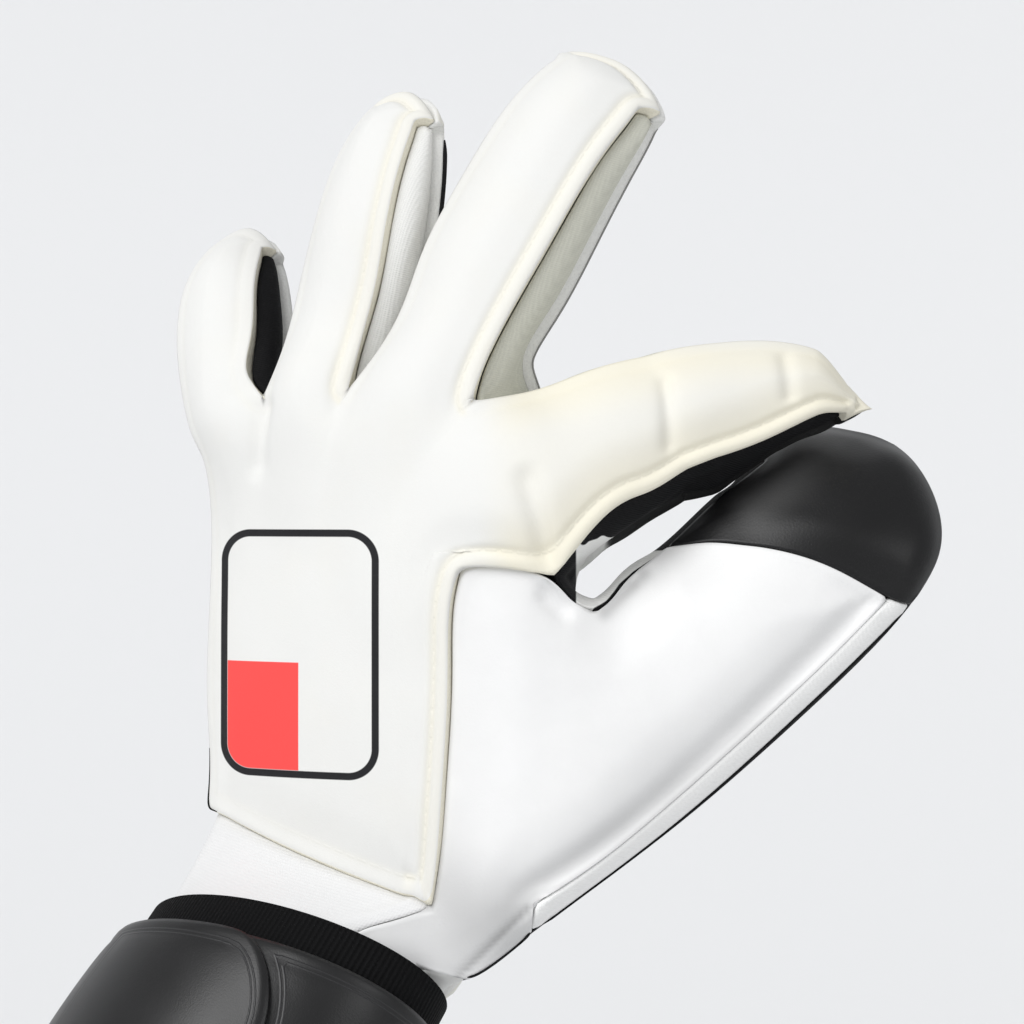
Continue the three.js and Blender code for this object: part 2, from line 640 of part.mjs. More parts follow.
// A point of the cuff: distance down from the rim, distance outside the inner form, and the angle
// from the thumb side toward the back of the hand
function cuffPoint(down, out, degrees) {
  const angle = THREE.MathUtils.degToRad(degrees);
  return along(RIM, CUFF_AXIS, -down)
    .addScaledVector(SIDE_AT_WRIST, (cuffValue("halfWidth", down) + out) * Math.cos(angle))
    .addScaledVector(BACK_AT_WRIST, (cuffValue("halfThick", down) + out) * Math.sin(angle));
}

// Joins equal rows of points into a wall. A closed wall runs round, an open one gets two ends.
function rowsGeometry(rows, closed) {
  const count = rows[0].length;
  const index = [];
  const bands = closed ? rows.length : rows.length - 1;
  for (let s = 0; s < bands; s++) {
    const here = s * count;
    const there = ((s + 1) % rows.length) * count;
    for (let k = 0; k < count; k++) {
      const next = (k + 1) % count;
      index.push(here + k, there + next, there + k, here + k, here + next, there + next);
    }
  }
  if (!closed) {
    const end = (rows.length - 1) * count;
    for (let k = 0; k + 1 < count / 2; k++) {
      const [a, b, c, d] = [k, k + 1, count - 2 - k, count - 1 - k];
      index.push(a, c, b, a, d, c);
      index.push(end + a, end + b, end + c, end + a, end + c, end + d);
    }
  }
  const geometry = new THREE.BufferGeometry();
  const positions = rows.flat().flatMap((p) => p.toArray());
  geometry.setAttribute("position", new THREE.Float32BufferAttribute(positions, 3));
  geometry.setIndex(index);
  geometry.computeVertexNormals();
  return geometry;
}

// Matte tube round the wrist, from its upper rim to the opening
function wristBandage() {
  const inside = CUFF_FORM.map(({ down }) => ({ down, out: 0 }));
  const outside = CUFF_FORM.map(({ down, wall }) => ({ down, out: wall })).reverse();
  const rows = [];
  for (let s = 0; s < BANDAGE_STEPS; s++) {
    const degrees = (360 * s) / BANDAGE_STEPS;
    rows.push([...inside, ...outside].map((p) => cuffPoint(p.down, p.out, degrees)));
  }
  return rowsGeometry(rows, true);
}

// Smooth strap wound once round the bandage, with its end lying over its start
function wristStrap() {
  const rows = [];
  for (let s = 0; s <= STRAP_STEPS; s++) {
    const run = (STRAP_SWEEP * s) / STRAP_STEPS;
    const rise = 1 - THREE.MathUtils.smoothstep(run, STRAP_LIES_OVER, STRAP_COMES_DOWN);
    const reach = Math.max(0, 1 - run / TONGUE_RUN);
    const row = ({ down, thick, tongue }, share) => {
      const out = cuffValue("wall", down) + STRAP_CLEAR + rise * STRAP_LIFT + share * thick;
      return cuffPoint(down, out, STRAP_END + run - reach * tongue);
    };
    const inside = STRAP_FORM.map((form) => row(form, 0));
    const outside = STRAP_FORM.map((form) => row(form, 1)).reverse();
    rows.push([...inside, ...outside]);
  }
  return rowsGeometry(rows, false);
}

const glove = new THREE.Group();
glove.add(...gloveBody());
glove.add(mesh("wrist_bandage", wristBandage(), 0x161617, 0.9));
glove.add(mesh("wrist_strap", wristStrap(), 0x222224, 0.35));

export default glove;
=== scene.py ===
"""Goalkeeper glove in its worn form: foam panels, cloth side strips, wrist bandage and wrap strap."""

import math

import bmesh
import bpy
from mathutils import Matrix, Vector, noise
from mathutils.bvhtree import BVHTree
from mathutils.kdtree import KDTree


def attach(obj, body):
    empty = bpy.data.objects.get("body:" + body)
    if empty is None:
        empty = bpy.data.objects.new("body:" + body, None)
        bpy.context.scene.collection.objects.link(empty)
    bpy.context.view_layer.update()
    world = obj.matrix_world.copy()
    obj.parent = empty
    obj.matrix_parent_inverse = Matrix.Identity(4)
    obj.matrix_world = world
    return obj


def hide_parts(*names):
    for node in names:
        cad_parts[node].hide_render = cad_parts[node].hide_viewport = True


bl_info = {
    "name": "Goalkeeper Glove",
    "version": (1, 0, 0),
    "blender": (4, 5, 0),
    "location": "3D View > Sidebar > Glove",
    "description": "Builds a padded left-hand goalkeeper glove around its packed frame",
    "category": "Add Mesh",
}

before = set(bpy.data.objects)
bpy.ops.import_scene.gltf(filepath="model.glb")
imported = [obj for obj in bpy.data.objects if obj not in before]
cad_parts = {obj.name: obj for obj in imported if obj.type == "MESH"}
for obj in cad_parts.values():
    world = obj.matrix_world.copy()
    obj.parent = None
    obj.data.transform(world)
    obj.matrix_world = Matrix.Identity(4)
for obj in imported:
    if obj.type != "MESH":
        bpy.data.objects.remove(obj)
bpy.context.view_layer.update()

# One millimetre. Places and sizes are in metres where no comment says otherwise.
MM = 0.001
# The direction from the wrist's opening up to the hand, and the wrist's radius in mm.
WRIST_AXIS = Vector((0.508, 0.208, 0.836)).normalized()
WRIST_RADIUS = 36.0
# Borders on this side of the skin keep their whole relief where the others are made plainer.
TO_SEAMS = Vector((0.94, 0.0, -0.34))
# Borders turn from plain to whole between these two places along X.
PLAIN_TO_WHOLE = (0.016, 0.046)
# The height over which relief fades out.
RELIEF_FADE = 0.018
# The camera's place, its distance from the picture plane, and its lens and sensor in mm.
EYE = Vector((0.0807, -1.102, 0.1541))
EYE_TO_PICTURE = 1.1
LENS = 179.8
SENSOR = 36.0

# Corners of loose triangles closer than this are one corner.
MERGE = 2e-6
# How far from a surface a ray starts, inside the wall and outside it.
RAY_INSIDE = 2e-5
RAY_OUTSIDE = 4e-4
# How far a cut edge is moved toward the piece that it is sewn to, and how far where the gap is wide.
SEAM_PUSH = 0.00022
WIDE_PUSH = 0.0003
# Edges bent by more than these stay crisp under smoothing, or are the border of a piece of one finish.
CRISP_ANGLE = math.radians(50)
BORDER_ANGLE = math.radians(28)
# How often the rims of a cut edge are evened out at each level of subdivision.
ROUNDING = {2: 3, 3: 10}
# Chains of up to this many border points get no cord.
SHORT_CHAIN = 4
# The thickness of a cord's tip as a share of the cord's, and the thread of its cloth.
CORD_TIP = 0.35
CORD_THREAD = 0.0005

# Face materials on every wall.
SKIN, CUT, LINING = 0, 1, 2
# Colour of a bound edge.
BINDING = (0.01, 0.01, 0.01, 1.0)


# Walls: one side of a wall is told from the other.

def merged(node):
    """A copy of a frame node's mesh with its loose triangles joined at their corners."""
    bm = bmesh.new()
    bm.from_mesh(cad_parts[node].data)
    bmesh.ops.remove_doubles(bm, verts=bm.verts[:], dist=MERGE)
    bm.normal_update()
    bm.verts.ensure_lookup_table()
    bm.verts.index_update()
    return bm


def across(edge, face):
    """The face on the other side of an edge."""
    return next(f for f in edge.link_faces if f is not face)


def third(face, edge):
    """The corner of a triangle that is not on an edge."""
    return next(v for v in face.verts if v not in edge.verts)


def walk_both(bm, seed, back, partner):
    """Walks the two like-meshed skins of a wall side by side, from one face and the face behind it."""
    pairs = {seed: back}
    queue = [seed]
    while queue:
        face = queue.pop()
        for edge in face.edges:
            ahead = across(edge, face)
            if ahead in pairs:
                continue
            far = third(ahead, edge)
            a, b = edge.verts
            if far in (partner[a], partner[b]):
                continue
            twin_edge = bm.edges.get((partner[a], partner[b]))
            if twin_edge is None:
                return None
            twin = across(twin_edge, pairs[face])
            twin_far = third(twin, twin_edge)
            if partner.setdefault(far, twin_far) is not twin_far:
                return None
            pairs[ahead] = twin
            queue.append(ahead)
    return pairs


def skins(bm):
    """The faces of a wall's outer skin and of its inner skin."""
    tree = BVHTree.FromBMesh(bm)
    corners = KDTree(len(bm.verts))
    for v in bm.verts:
        corners.insert(v.co, v.index)
    corners.balance()
    for seed in sorted(bm.faces, key=lambda f: -f.calc_area()):
        partner = {}
        for v in seed.verts:
            depth = tree.ray_cast(v.co - v.normal * RAY_INSIDE, -v.normal)[3]
            if depth is not None:
                partner[v] = bm.verts[corners.find(v.co - v.normal * depth)[1]]
        behind = set(partner.values())
        if len(behind) < 3 or behind & set(seed.verts):
            continue
        back = next((f for v in behind for f in v.link_faces if set(f.verts) == behind), None)
        if back is None:
            continue
        pairs = walk_both(bm, seed, back, partner)
        if pairs and 2 * len(partner) == len(bm.verts):
            first, second = set(pairs), set(pairs.values())
            return (first, second) if open_area(first) > open_area(second) else (second, first)
    raise RuntimeError("a wall's two skins were not found")


def open_area(faces):
    """The area of the faces from which a straight way leads clear of the whole glove."""
    return sum(f.calc_area() for f in faces if leads_out(f))


def leads_out(face):
    """Whether a straight way from a face meets no part of the glove."""
    start = face.calc_center_median() + face.normal * RAY_OUTSIDE
    return all(tree.ray_cast(start, face.normal)[0] is None for tree in WHOLE.values())


# A search tree for each node of the frame.
WHOLE = {
    name: BVHTree.FromObject(node, bpy.context.evaluated_depsgraph_get())
    for name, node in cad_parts.items()
}


# Shape: smoothing, the distance to the nearest cut edge, and relief.

def quads(bm):
    """Joins the triangles of each skin to four-sided faces."""
    bmesh.ops.join_triangles(
        bm, faces=bm.faces[:], angle_face_threshold=math.radians(70), angle_shape_threshold=math.radians(70),
        cmp_materials=True,
    )


def wall(node):
    """A node's wall as four-sided faces: skin outside, lining inside and the cut edge between them."""
    bm = merged(node)
    outer, inner = skins(bm)
    for finish, faces in ((CUT, bm.faces), (LINING, inner), (SKIN, outer)):
        for face in faces:
            face.material_index = finish
    quads(bm)
    return bm


def band(node):
    """A node of rows round the wrist as four-sided faces, all of one finish."""
    bm = merged(node)
    for face in bm.faces:
        face.material_index = SKIN
    quads(bm)
    return bm


def smoothed(bm, levels, crease=0.55, push=SEAM_PUSH):
    """The mesh after subdivision, with the rims of its cut edge and its sharply bent edges kept crisp."""
    layer = bm.edges.layers.float.new("crease_edge")
    for edge in bm.edges:
        finishes = {f.material_index for f in edge.link_faces}
        if len(finishes) > 1 or edge.calc_face_angle(0) > CRISP_ANGLE:
            edge[layer] = crease
    mesh = bpy.data.meshes.new("rough")
    bm.to_mesh(mesh)
    bm.free()
    rough = bpy.data.objects.new("rough", mesh)
    bpy.context.scene.collection.objects.link(rough)
    modifier = rough.modifiers.new("smooth", "SUBSURF")
    modifier.levels = levels
    modifier.render_levels = levels
    fine = bmesh.new()
    fine.from_object(rough, bpy.context.evaluated_depsgraph_get())
    bpy.data.objects.remove(rough)
    bpy.data.meshes.remove(mesh)
    fine.normal_update()
    round_corners(fine, ROUNDING[levels])
    close_seams(fine, push)
    return fine


def round_corners(bm, steps):
    """Evens out the sharp turns of the two rims of the cut edge."""
    ways = {}
    for edge in bm.edges:
        finishes = {f.material_index for f in edge.link_faces}
        if len(finishes) > 1 and CUT in finishes:
            for v in edge.verts:
                ways.setdefault(v, []).append(edge.other_vert(v))
    for _ in range(steps):
        moved = {v: v.co.lerp((a.co + b.co) / 2, 0.5) for v, (a, b) in ways.items()}
        for v, co in moved.items():
            v.co = co
    bm.normal_update()


def close_seams(bm, push):
    """Moves the cut edges outward until they nearly meet the piece that they are sewn to."""
    moves = []
    for v in bm.verts:
        cuts = [f.normal for f in v.link_faces if f.material_index == CUT]
        if cuts:
            moves.append((v, sum(cuts, Vector()).normalized() * push))
    for v, move in moves:
        v.co += move
    bm.normal_update()


def border_edges(bm, one_finish=False):
    """The edges where the skin meets the cut edge, or the sharp ones where a band has one finish."""
    if one_finish:
        return [e for e in bm.edges if e.calc_face_angle(0) > BORDER_ANGLE]
    return [e for e in bm.edges if {f.material_index for f in e.link_faces} == {SKIN, CUT}]


class Border:
    """The cut edge of a piece as a chain of short edges, measured along its length."""

    def __init__(self, edges):
        self.links = {}
        for edge in edges:
            for v in edge.verts:
                self.links.setdefault(v, []).append(edge)
        self.verts = list(self.links)
        self.run = {}
        for start in self.verts:
            if start not in self.run:
                self.walk(start)
        self.tree = KDTree(len(self.verts))
        for k, v in enumerate(self.verts):
            self.tree.insert(v.co, k)
        self.tree.balance()

    def walk(self, start):
        """Gives each corner of one chain its distance along the chain."""
        self.run[start] = 0.0
        v = start
        while True:
            ways = [e for e in self.links[v] if e.other_vert(v) not in self.run]
            if not ways:
                return
            other = ways[0].other_vert(v)
            self.run[other] = self.run[v] + ways[0].calc_length()
            v = other

    def nearest(self, co):
        """The distance from a point to the border, the place along it and the border point."""
        v = self.verts[self.tree.find(co)[1]]
        best = ((co - v.co).length, self.run[v], v.co)
        for edge in self.links[v]:
            other = edge.other_vert(v)
            along = other.co - v.co
            share = min(1.0, max(0.0, (co - v.co).dot(along) / max(along.length_squared, 1e-12)))
            distance = (co - v.co - along * share).length
            if distance < best[0]:
                step = self.run[other] - self.run[v]
                # A longer step is where the walk round the chain ends beside its start.
                if abs(step) < 3 * along.length:
                    best = (distance, self.run[v] + step * share, v.co + along * share)
        return best


def seen(co):
    """Where a point shows in the picture plane through the wrist opening, in metres."""
    share = EYE_TO_PICTURE / (co.y - EYE.y)
    return Vector((EYE.x + (co.x - EYE.x) * share, EYE.z + (co.z - EYE.z) * share))


def bell(value, middle, width):
    return math.exp(-(((value - middle) / width) ** 2))


def rise(value, low, high):
    share = min(1.0, max(0.0, (value - low) / (high - low)))
    return share * share * (3 - 2 * share)


def fold_depth(place, folds):
    """How far the folds of a table push the surface in at a place of the picture plane."""
    total = 0.0
    for fold in folds:
        start = Vector(fold["start"]) * MM
        along = Vector(fold["end"]) * MM - start
        share = (place - start).dot(along) / along.length_squared
        inside = rise(share, -0.12, 0.12) * rise(1 - share, -0.12, 0.12)
        if inside > 0:
            away = (place - start - along * min(1.0, max(0.0, share))).length
            total += fold["depth"] * MM * inside * bell(away, 0.0, fold["width"] * MM)
    return total


def write(bm, name, value):
    """Writes a value of each corner to an attribute."""
    layer = bm.verts.layers.float.new(name)
    for v in bm.verts:
        v[layer] = value(v)


def shape_skin(bm, profile, folds=(), one_finish=False, wave=(0.02, 0.0), plain_sides=0.0, flat_below=-1.0):
    """Raises the skin by its distance to the border, and sinks it in folds where the camera sees it.

    Borders away from the thumb are plainer by plain_sides, and relief fades out below flat_below. The wave
    is the size and the height of a soft unevenness.
    """
    edge_layer = bm.verts.layers.float.new("to_edge")
    run_layer = bm.verts.layers.float.new("along_edge")
    share_layer = bm.verts.layers.float.new("edge_share")
    border = Border(border_edges(bm, one_finish))
    heights, pushes = {}, []
    wave_size, wave_height = wave
    for v in bm.verts:
        inside = any(f.material_index == LINING for f in v.link_faces)
        outward = -v.normal if inside else v.normal
        depth = fold_depth(seen(v.co), folds) * rise(-outward.y, 0.0, 0.4) if folds else 0.0
        if not inside:
            distance, along, point = border.nearest(v.co)
            way = (point - v.co).normalized()
            share = 1 - plain_sides * (1 - rise(way.dot(TO_SEAMS), 0.05, 0.3) * rise(v.co.x, *PLAIN_TO_WHOLE))
            v[edge_layer] = distance / MM
            v[run_layer] = along / MM
            v[share_layer] = share
            depth -= noise.noise(v.co / wave_size) * wave_height * rise(distance / MM, 0.0, 6.0)
            if any(f.material_index == SKIN for f in v.link_faces):
                fade = rise(v.co.z, flat_below - RELIEF_FADE, flat_below)
                heights[v] = profile(distance / MM, share) * MM * fade
        pushes.append((v, outward, depth))
    for v, outward, depth in pushes:
        beside = [heights[w] for w in (e.other_vert(v) for e in v.link_edges) if w in heights]
        height = (heights[v] + sum(beside) / len(beside)) / 2 if v in heights else 0.0
        v.co += outward * (height - depth)
    bm.normal_update()


def border_chains(bm, keep):
    """The border of a piece as lines of points, broken where a point is not kept."""
    border = Border(border_edges(bm))
    chains, used = [], set()
    for start in border.verts:
        if start in used or not keep(start.co):
            continue
        ends = [start]
        used.add(start)
        for front in (True, False):
            v = start
            while True:
                ways = [e.other_vert(v) for e in border.links[v]]
                ways = [w for w in ways if w not in used and keep(w.co)]
                if not ways:
                    break
                v = ways[0]
                used.add(v)
                ends.insert(len(ends) if front else 0, v)
        if len(ends) > SHORT_CHAIN:
            chains.append([v.co.copy() for v in ends])
    return chains


def cords(chains, radius, taper=4):
    """Round cords along lines of points, thinner over a number of points at their ends."""
    data = bpy.data.curves.new("cords", "CURVE")
    data.dimensions = "3D"
    data.bevel_depth = radius
    data.bevel_resolution = 2
    data.use_fill_caps = True
    for chain in chains:
        spline = data.splines.new("POLY")
        spline.points.add(len(chain) - 1)
        for k, co in enumerate(chain):
            spline.points[k].co = (*co, 1.0)
            spline.points[k].radius = min(1.0, CORD_TIP + min(k, len(chain) - 1 - k) / taper)
    rough = bpy.data.objects.new("cords", data)
    mesh = bpy.data.meshes.new_from_object(rough)
    bm = bmesh.new()
    bm.from_mesh(mesh)
    bpy.data.objects.remove(rough)
    bpy.data.curves.remove(data)
    bpy.data.meshes.remove(mesh)
    return bm


def beside(node, reach, axis=0, low=-math.inf, high=math.inf):
    """A test for points near a node's solid that show between two places across or up the picture, in mm."""
    solid = WHOLE[node]
    return lambda co: low < seen(co)[axis] / MM < high and solid.find_nearest(co, reach)[0] is not None


def made(name, bm, materials):
    """Makes a smooth-shaded object from a mesh and its finishes."""
    for face in bm.faces:
        face.smooth = True
    mesh = bpy.data.meshes.new(name)
    bm.to_mesh(mesh)
    bm.free()
    for material in materials:
        mesh.materials.append(material)
    piece = bpy.data.objects.new(name, mesh)
    bpy.context.scene.collection.objects.link(piece)
    return piece


def finished(name, bm, nodes, materials):
    """Makes the object of a piece, hangs it on the root and hides the nodes that it stands for."""
    piece = made(name, bm, materials)
    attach(piece, "root")
    if nodes:
        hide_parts(*nodes)
    return piece


# Materials: sockets take part in Python expressions.

class Wire:
    """A socket of a shader node that takes part in sums and products."""

    def __init__(self, finish, socket):
        self.finish = finish
        self.socket = socket

    def math(self, operation, *values):
        return self.finish.node("ShaderNodeMath", {"operation": operation}, dict(enumerate(values)))

    def __add__(self, other):
        return self.math("ADD", self, other)

    def __radd__(self, other):
        return self.math("ADD", other, self)

    def __sub__(self, other):
        return self.math("SUBTRACT", self, other)

    def __rsub__(self, other):
        return self.math("SUBTRACT", other, self)

    def __mul__(self, other):
        return self.math("MULTIPLY", self, other)

    def __rmul__(self, other):
        return self.math("MULTIPLY", other, self)

    def root(self):
        return self.math("SQRT", self)

    def absolute(self):
        return self.math("ABSOLUTE", self)

    def fraction(self):
        return self.math("FRACT", self)

    def sine(self):
        return self.math("SINE", self)

    def least(self, other):
        return self.math("MINIMUM", self, other)

    def most(self, other):
        return self.math("MAXIMUM", self, other)

    def between(self, low, high):
        """Rises smoothly from 0 at low to 1 at high."""
        settings = {"interpolation_type": "SMOOTHSTEP"}
        inputs = {"Value": self, "From Min": low, "From Max": high}
        return self.finish.node("ShaderNodeMapRange", settings, inputs)

    def near(self, middle, width):
        """Is 1 at middle and falls smoothly to 0 at width from it."""
        return 1 - (self - middle).absolute().between(0.0, width)


class Finish:
    """One procedural material."""

    def __init__(self, name, specular=0.5):
        self.material = bpy.data.materials.new(name)
        self.material.use_nodes = True
        self.tree = self.material.node_tree
        self.shader = self.tree.nodes["Principled BSDF"]
        self.shader.inputs["Specular IOR Level"].default_value = specular

    def feed(self, socket, value):
        if isinstance(value, Wire):
            self.tree.links.new(value.socket, socket)
        else:
            socket.default_value = value

    def node(self, kind, settings=None, inputs=None, output=0):
        """Adds any node, with its settings first and then its sockets, and returns one output."""
        node = self.tree.nodes.new(kind)
        for key, value in (settings or {}).items():
            setattr(node, key, value)
        for key, value in (inputs or {}).items():
            self.feed(node.inputs[key], value)
        return Wire(self, node.outputs[output])

    def place(self):
        """The point of the object, in metres."""
        return self.node("ShaderNodeTexCoord", output="Object")

    def along(self, place, direction):
        """How far a place lies in a direction."""
        settings = {"operation": "DOT_PRODUCT"}
        return self.node("ShaderNodeVectorMath", settings, {0: place, 1: direction}, "Value")

    def attribute(self, name):
        return self.node("ShaderNodeAttribute", {"attribute_name": name}, output="Fac")

    def noise(self, place, scale, detail=2.0, roughness=0.5):
        return self.node(
            "ShaderNodeTexNoise", None,
            {"Vector": place, "Scale": scale, "Detail": detail, "Roughness": roughness},
        )

    def cells(self, place, scale):
        return self.node("ShaderNodeTexVoronoi", None, {"Vector": place, "Scale": scale})

    def mix(self, share, first, second):
        """A colour between two."""
        return self.node("ShaderNodeMix", {"data_type": "RGBA"}, {0: share, 6: first, 7: second}, 2)

    def tones(self, share, value, dark):
        """A colour property between its darker tone and itself."""
        return self.mix(share, linear(value, dark), linear(value))

    def colour(self, value):
        self.feed(self.shader.inputs["Base Color"], value)

    def rough(self, value):
        self.feed(self.shader.inputs["Roughness"], value)

    def bump(self, height, distance, strength=1.0):
        """Raises the surface by a height of 0 to 1 times a distance in metres."""
        inputs = {"Height": height, "Distance": distance, "Strength": strength}
        self.feed(self.shader.inputs["Normal"], self.node("ShaderNodeBump", None, inputs))


def linear(colour, share=1.0):
    """A colour property as a shader colour, darker or lighter by a share."""
    return (*(min(1.0, c * share) for c in colour), 1.0)


# Settings that a user would change.

def length(name, text, default):
    return bpy.props.FloatProperty(
        name=name, description=text, default=default, min=0.0, unit="LENGTH", precision=5
    )


def colour(name, text, default):
    return bpy.props.FloatVectorProperty(
        name=name, description="Colour of " + text, default=default, min=0.0, max=1.0, size=3, subtype="COLOR"
    )


class FoamSettings(bpy.types.PropertyGroup):
    """Sizes and colours of the foam panels."""

    skin: colour("Skin", "the foam's skin", (0.79, 0.79, 0.77))
    cut: colour("Cut edge", "the back panel's foam where it is cut", (0.83, 0.795, 0.67))
    palm_cut: colour("Palm's cut edge", "the palm's foam where it is cut", (0.85, 0.85, 0.83))
    lining: colour("Lining", "the cloth inside the glove", (0.75, 0.75, 0.74))
    lip_height: length("Lip height", "How far the panel's edge stands up outside its seam", 0.0004)
    lip_place: length("Lip place", "Distance of the lip's crest from the panel's edge", 0.0015)
    seam_depth: length("Seam depth", "How far the stitched seam sinks into the foam", 0.0008)
    seam_place: length("Seam place", "Distance of the seam from the panel's edge", 0.0036)
    pillow: length("Pillow", "How far the foam swells inside its seam", 0.0012)
    stitch: length("Stitch", "Length of one stitch with the gap after it", 0.0032)


class PrintSettings(bpy.types.PropertyGroup):
    """The plain print on the back of the hand."""

    line: colour("Line", "the printed line", (0.012, 0.012, 0.014))
    block: colour("Block", "the printed block", (0.93, 0.08, 0.075))
    width: length("Width", "Width of the printed frame", 0.036)
    height: length("Height", "Height of the printed frame", 0.054)
    line_width: length("Line width", "Width of the printed line", 0.0019)


class ClothSettings(bpy.types.PropertyGroup):
    """Colours and weave of the side strips."""

    black: colour("Black", "the black strips", (0.011, 0.011, 0.012))
    light: colour("Light", "the light strips", (0.84, 0.84, 0.82))
    band: colour("Band", "the band along the thumb's outer edge", (0.95, 0.95, 0.94))
    cream: colour("Cream", "the cream strip", (0.65, 0.65, 0.57))
    thread: length("Thread", "Width of one thread of the weave", 0.0006)


class ThumbSettings(bpy.types.PropertyGroup):
    """Colours of the smooth panels on the thumb."""

    white: colour("White", "the smooth white panel", (0.84, 0.84, 0.837))
    black: colour("Black", "the smooth black cap", (0.008, 0.008, 0.0085))
    grain: length("Grain", "Size of the fine grain", 0.0005)


class WristSettings(bpy.types.PropertyGroup):
    """Sizes and colours of the elastic, the bandage and the strap."""

    elastic: colour("Elastic", "the elastic above the bandage", (0.79, 0.79, 0.79))
    bandage: colour("Bandage", "the knitted bandage", (0.007, 0.007, 0.0075))
    strap: colour("Strap", "the smooth strap", (0.008, 0.008, 0.0085))
    rib: length("Rib", "Width of one knitted rib", 0.0013)
    hem: length("Hem", "Distance of the strap's hem lines from its edge", 0.0032)


class StageSettings(bpy.types.PropertyGroup):
    """Floor, backdrop and light."""

    floor: colour("Floor", "the floor and the backdrop", (0.745, 0.75, 0.757))
    floor_height: bpy.props.FloatProperty(
        name="Floor height", description="Height of the floor below the glove", default=-0.26, unit="LENGTH"
    )
    key: bpy.props.FloatProperty(
        name="Key light", description="Strength of the main light", default=2.2, min=0.0
    )


# Finishes. Distances from a border are in mm.

# The print's middle, its corners' radius, its block's top edge and the blur of its outlines.
PRINT_MIDDLE = Vector((0.0345, 0.0, 0.1235))
PRINT_RADIUS = 0.007
BLOCK_TOP = -0.002
PRINT_BLUR = 0.0002


def stitches(finish, place_of_seam, step):
    """A row of short stitches at a distance from the border: 1 on the thread, 0 beside it."""
    thread_reach, stitch_end, gap_start = 0.45, 0.3, 0.42
    across_seam = finish.attribute("to_edge").near(place_of_seam, thread_reach)
    along = (finish.attribute("along_edge") * (1 / step)).fraction()
    return across_seam * (1 - (along - 0.5).absolute().between(stitch_end, gap_start))


def print_masks(finish, place, settings):
    """The line and the filled block of the print: a rounded frame with one filled corner."""
    offset = finish.node("ShaderNodeVectorMath", {"operation": "SUBTRACT"}, {0: place, 1: PRINT_MIDDLE})
    side = finish.along(offset, (1.0, 0.0, 0.0))
    up = finish.along(offset, (0.0, 0.0, 1.0))
    beyond_side = (side.absolute() - (settings.width / 2 - PRINT_RADIUS)).most(0.0)
    beyond_up = (up.absolute() - (settings.height / 2 - PRINT_RADIUS)).most(0.0)
    from_edge = (beyond_side * beyond_side + beyond_up * beyond_up).root() - PRINT_RADIUS
    line = from_edge.near(-settings.line_width / 2, settings.line_width * 0.6).between(0.1, 0.35)
    inside = 1 - from_edge.between(-settings.line_width, PRINT_BLUR - settings.line_width)
    corner = (1 - side.between(0.0, PRINT_BLUR)) * (1 - up.between(BLOCK_TOP, BLOCK_TOP + PRINT_BLUR))
    return line, inside * corner


def foam_skin(name, foam, print_settings=None, dark_band=0.0):
    """White foam with fine pores, a cream tone toward its edges, a stitched seam and painted shade on the
    index finger.
    """
    finish = Finish(name, specular=0.3)
    place = finish.place()
    pores = finish.noise(place, 2200.0, 3.0, 0.6)
    clouds = finish.noise(place, 60.0, 2.0)
    edge = finish.attribute("to_edge")
    seam = (1 - edge.between(2.0, 6.5)) * 0.3 + edge.near(foam.seam_place / MM, 1.4) * 0.35
    cream = seam * finish.attribute("edge_share")
    # Adds the painted shade, in the cream tone, that the back panel writes on the index finger.
    cream = (cream + clouds.between(0.45, 0.8) * 0.08 + finish.attribute("painted_light")).least(1.0)
    tone = finish.mix(cream, linear(foam.skin), linear(foam.cut))
    thread = stitches(finish, foam.seam_place / MM, foam.stitch / MM) * finish.attribute("edge_share")
    if print_settings:
        line, block = print_masks(finish, place, print_settings)
        clear = edge.between(5.2, 5.6)
        tone = finish.mix(block * clear, tone, linear(print_settings.block))
        tone = finish.mix(line * clear, tone, linear(print_settings.line))
    if dark_band:
        tone = finish.mix(edge.between(dark_band, dark_band + 0.3), BINDING, tone)
    finish.colour(tone)
    finish.rough(0.68 + pores * 0.12)
    finish.bump(pores * 0.5 + thread * 1.2, 0.00012, 0.6)
    return finish.material


def foam_cut(name, colour_value):
    """The open-pored cut edge of the foam, black where it is bound."""
    finish = Finish(name)
    finish.rough(0.85)
    place = finish.place()
    pores = finish.cells(place, 1900.0)
    tone = finish.tones(pores.between(0.0, 0.7) * 0.5 + 0.5, colour_value, dark=0.85)
    finish.colour(finish.mix(finish.attribute("bound"), tone, BINDING))
    finish.bump(pores, 0.00015, 0.5)
    return finish.material


def weave(name, colour_value, thread, specular=0.3, contrast=0.25, web=None):
    """A fine stretch cloth of crossing threads, with another colour in the bottom of the web where wanted."""
    finish = Finish(name, specular)
    finish.rough(0.82)
    place = finish.place()
    turns = 2 * math.pi / thread
    one = (finish.along(place, (0.7, -0.5, 0.5)) * turns).sine()
    two = (finish.along(place, (-0.4, 0.5, 0.77)) * turns).sine()
    threads = one * two * 0.5 + 0.5
    fuzz = finish.noise(place, 900.0, 2.0)
    tone = finish.tones(threads * 0.6 + fuzz * 0.4, colour_value, dark=1 - contrast)
    if web:
        tone = finish.mix(finish.attribute("light_web").between(-0.15, 0.15), tone, linear(web))
    finish.colour(tone)
    finish.bump(threads + fuzz * 0.3, 0.00012, 0.5)
    return finish.material


